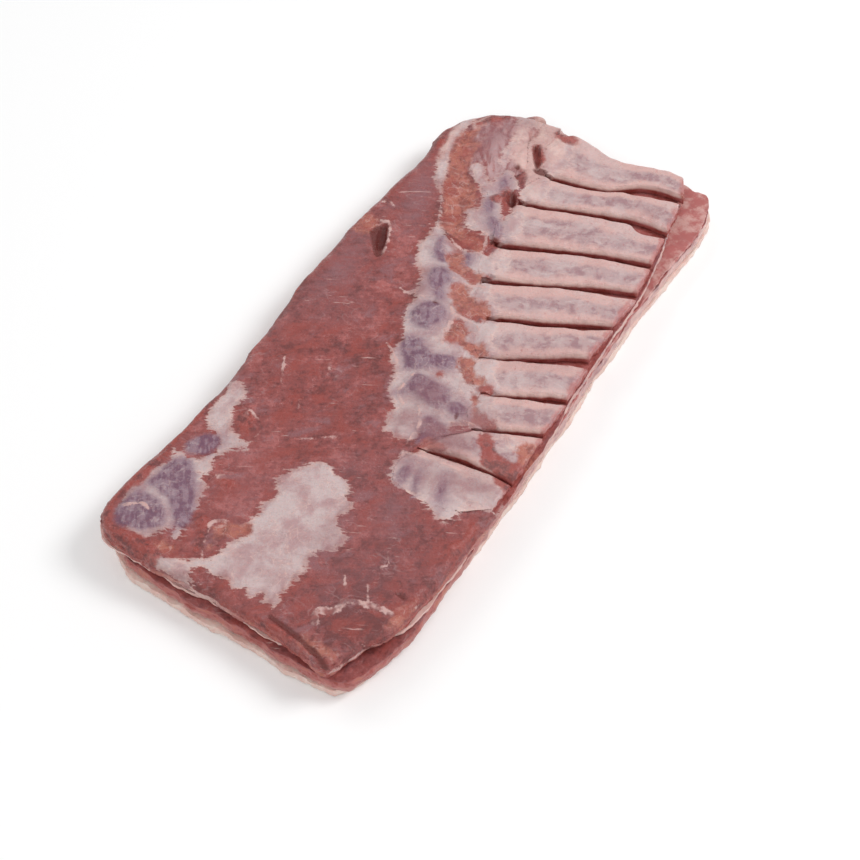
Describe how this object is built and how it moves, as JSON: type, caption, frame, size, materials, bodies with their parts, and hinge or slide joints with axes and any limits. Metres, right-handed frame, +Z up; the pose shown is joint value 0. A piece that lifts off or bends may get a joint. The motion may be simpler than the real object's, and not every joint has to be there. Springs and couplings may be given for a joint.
{
  "type": "raw pork rib slab",
  "caption": "Whole slab of raw pork belly lying rind down, with its rib bones uppermost, breastbone at one end and a loose flap at the other.",
  "frame": {"origin": "middle of the slab's box, on the board under the rind", "axes": "+X along the slab towards the breastbone end, +Y across it away from the sawn rib tails, +Z up through the ribs"},
  "size_m": [0.5446, 0.2464, 0.0382],
  "materials": {
    "rind": "smooth pale pork rind with its back fat, a little damp",
    "side_lean": "cut lean meat streaked with fat, damp",
    "seam_fat": "pale pink fat, damp",
    "face_lean": "dark red lean meat under thin pale membranes, damp",
    "rib_bone": "pinkish rib bone in thin meat and membrane, damp",
    "gristle": "pale pink breastbone gristle with red meat over it, damp"
  },
  "bodies": {
    "root": {"rind_fat": "rind", "lower_lean": "side_lean", "fat_seam": "seam_fat", "upper_lean": "face_lean", "rib_01": "rib_bone", "rib_02": "rib_bone", "rib_03": "rib_bone", "rib_04": "rib_bone", "rib_05": "rib_bone", "rib_06": "rib_bone", "rib_07": "rib_bone", "rib_08": "rib_bone", "rib_09": "rib_bone", "rib_10": "rib_bone", "breastbone": "gristle"}
  },
  "joints": []
}
